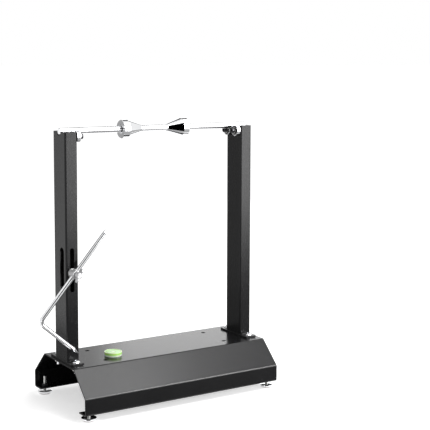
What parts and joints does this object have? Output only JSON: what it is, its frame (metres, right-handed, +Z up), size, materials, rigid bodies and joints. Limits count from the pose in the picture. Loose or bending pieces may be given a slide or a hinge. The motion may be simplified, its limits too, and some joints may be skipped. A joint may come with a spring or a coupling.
{
  "type": "motorcycle wheel balancer",
  "caption": "Static wheel balancer: a folded sheet base on screw feet, tube uprights with ball bearings, a rolling shaft with centring cones, a clamped pointer rod and a round level.",
  "frame": {"origin": "bottom centre of the bounding box, on the ground under the feet", "axes": "+X along the base and the shaft, away from the slotted upright that carries the pointer; -Y is the front, where the pointer is; +Z is up"},
  "size_m": [0.4742, 0.22, 0.5325],
  "materials": {
    "black_paint": "semi-gloss powder coat",
    "chrome": "polished",
    "zinc": "bright zinc plate",
    "bearing_steel": "ground and polished",
    "black_steel": "black oxide",
    "foot_rubber": "matt",
    "cast_zinc": "fine cast, plated",
    "seal_rubber": "satin",
    "level_plastic": "clear moulded",
    "level_glass": "clear",
    "level_fluid": "tinted liquid"
  },
  "bodies": {
    "frame": {"base_channel": "black_paint", "foot_lock_nuts": "black_steel", "left_upright_tube": "black_paint", "right_upright_tube": "black_paint", "left_foot_plate": "black_paint", "right_foot_plate": "black_paint", "upright_screws": "chrome", "upright_washers": "zinc", "upright_nuts": "zinc", "bearing_spacers": "black_steel", "bearing_washers": "zinc", "bearing_screws": "black_steel", "bearing_nuts": "zinc", "front_left_bearing_inner_ring": "bearing_steel", "front_right_bearing_inner_ring": "bearing_steel", "back_left_bearing_inner_ring": "bearing_steel", "back_right_bearing_inner_ring": "bearing_steel"},
    "front_left_foot": {"front_left_foot_disc": "chrome", "front_left_foot_screw": "zinc", "front_left_foot_pad": "foot_rubber"},
    "front_right_foot": {"front_right_foot_disc": "chrome", "front_right_foot_screw": "zinc", "front_right_foot_pad": "foot_rubber"},
    "back_left_foot": {"back_left_foot_disc": "chrome", "back_left_foot_screw": "zinc", "back_left_foot_pad": "foot_rubber"},
    "back_right_foot": {"back_right_foot_disc": "chrome", "back_right_foot_screw": "zinc", "back_right_foot_pad": "foot_rubber"},
    "shaft": {"shaft": "chrome"},
    "front_left_bearing_ring": {"front_left_bearing_outer_ring": "bearing_steel", "front_left_bearing_seals": "seal_rubber"},
    "front_left_bearing_balls": {"front_left_bearing_balls": "bearing_steel"},
    "front_right_bearing_ring": {"front_right_bearing_outer_ring": "bearing_steel", "front_right_bearing_seals": "seal_rubber"},
    "front_right_bearing_balls": {"front_right_bearing_balls": "bearing_steel"},
    "back_left_bearing_ring": {"back_left_bearing_outer_ring": "bearing_steel", "back_left_bearing_seals": "seal_rubber"},
    "back_left_bearing_balls": {"back_left_bearing_balls": "bearing_steel"},
    "back_right_bearing_ring": {"back_right_bearing_outer_ring": "bearing_steel", "back_right_bearing_seals": "seal_rubber"},
    "back_right_bearing_balls": {"back_right_bearing_balls": "bearing_steel"},
    "left_cone": {"left_cone": "chrome", "left_cone_screw": "black_steel"},
    "right_cone": {"right_cone": "chrome", "right_cone_screw": "black_steel"},
    "pointer_clamp": {"clamp_stud": "zinc", "clamp_washer": "zinc", "clamp_inner_washer": "zinc", "clamp_inner_nut": "zinc"},
    "swivel_block": {"swivel_block": "cast_zinc"},
    "pointer": {"pointer_rod": "chrome"},
    "wing_screw": {"wing_screw": "cast_zinc"},
    "level": {"level_body": "level_plastic", "level_window": "level_glass", "level_fluid": "level_fluid", "level_bubble": "level_glass"}
  },
  "joints": [
    {"name": "front_left_foot_height", "type": "slide", "parent": "frame", "child": "front_left_foot", "axis": [0, 0, 1], "range_m": [-0.01, 0.004]},
    {"name": "front_right_foot_height", "type": "slide", "parent": "frame", "child": "front_right_foot", "axis": [0, 0, 1], "range_m": [-0.01, 0.004]},
    {"name": "back_left_foot_height", "type": "slide", "parent": "frame", "child": "back_left_foot", "axis": [0, 0, 1], "range_m": [-0.01, 0.004]},
    {"name": "back_right_foot_height", "type": "slide", "parent": "frame", "child": "back_right_foot", "axis": [0, 0, 1], "range_m": [-0.01, 0.004]},
    {"name": "shaft_spin", "type": "hinge", "parent": "frame", "child": "shaft", "pos_m": [0.02662, 0, 0.515], "axis": [1, 0, 0], "continuous": true},
    {"name": "front_left_bearing_ring_spin", "type": "hinge", "parent": "frame", "child": "front_left_bearing_ring", "pos_m": [-0.14918, -0.014, 0.50527], "axis": [1, 0, 0], "continuous": true},
    {"name": "front_left_bearing_balls_spin", "type": "hinge", "parent": "frame", "child": "front_left_bearing_balls", "pos_m": [-0.14918, -0.014, 0.50527], "axis": [1, 0, 0], "continuous": true},
    {"name": "front_right_bearing_ring_spin", "type": "hinge", "parent": "frame", "child": "front_right_bearing_ring", "pos_m": [0.20242, -0.014, 0.50527], "axis": [1, 0, 0], "continuous": true},
    {"name": "front_right_bearing_balls_spin", "type": "hinge", "parent": "frame", "child": "front_right_bearing_balls", "pos_m": [0.20242, -0.014, 0.50527], "axis": [1, 0, 0], "continuous": true},
    {"name": "back_left_bearing_ring_spin", "type": "hinge", "parent": "frame", "child": "back_left_bearing_ring", "pos_m": [-0.14918, 0.014, 0.50527], "axis": [1, 0, 0], "continuous": true},
    {"name": "back_left_bearing_balls_spin", "type": "hinge", "parent": "frame", "child": "back_left_bearing_balls", "pos_m": [-0.14918, 0.014, 0.50527], "axis": [1, 0, 0], "continuous": true},
    {"name": "back_right_bearing_ring_spin", "type": "hinge", "parent": "frame", "child": "back_right_bearing_ring", "pos_m": [0.20242, 0.014, 0.50527], "axis": [1, 0, 0], "continuous": true},
    {"name": "back_right_bearing_balls_spin", "type": "hinge", "parent": "frame", "child": "back_right_bearing_balls", "pos_m": [0.20242, 0.014, 0.50527], "axis": [1, 0, 0], "continuous": true},
    {"name": "left_cone_slide", "type": "slide", "parent": "shaft", "child": "left_cone", "axis": [1, 0, 0], "range_m": [-0.086, 0.028]},
    {"name": "right_cone_slide", "type": "slide", "parent": "shaft", "child": "right_cone", "axis": [1, 0, 0], "range_m": [-0.028, 0.097]},
    {"name": "clamp_height", "type": "slide", "parent": "frame", "child": "pointer_clamp", "axis": [0, 0, 1], "range_m": [-0.004, 0.042]},
    {"name": "pointer_swivel", "type": "hinge", "parent": "pointer_clamp", "child": "swivel_block", "pos_m": [-0.16638, -0.0356, 0.256], "axis": [0, -1, 0], "continuous": true},
    {"name": "pointer_reach", "type": "slide", "parent": "swivel_block", "child": "pointer", "axis": [0.6561, 0, 0.7547], "range_m": [-0.006, 0.04]},
    {"name": "wing_screw_turn", "type": "hinge", "parent": "swivel_block", "child": "wing_screw", "pos_m": [-0.16638, -0.0356, 0.256], "axis": [0, -1, 0], "continuous": true},
    {"name": "level_lift", "type": "slide", "parent": "frame", "child": "level", "axis": [0, 0, 1], "range_m": [0, 0.015]}
  ],
  "couplings": [
    {"joint": "front_left_bearing_ring_spin", "follows": "shaft_spin", "ratio": -0.54546},
    {"joint": "front_left_bearing_balls_spin", "follows": "shaft_spin", "ratio": -0.34955},
    {"joint": "front_right_bearing_ring_spin", "follows": "shaft_spin", "ratio": -0.54546},
    {"joint": "front_right_bearing_balls_spin", "follows": "shaft_spin", "ratio": -0.34955},
    {"joint": "back_left_bearing_ring_spin", "follows": "shaft_spin", "ratio": -0.54546},
    {"joint": "back_left_bearing_balls_spin", "follows": "shaft_spin", "ratio": -0.34955},
    {"joint": "back_right_bearing_ring_spin", "follows": "shaft_spin", "ratio": -0.54546},
    {"joint": "back_right_bearing_balls_spin", "follows": "shaft_spin", "ratio": -0.34955}
  ]
}
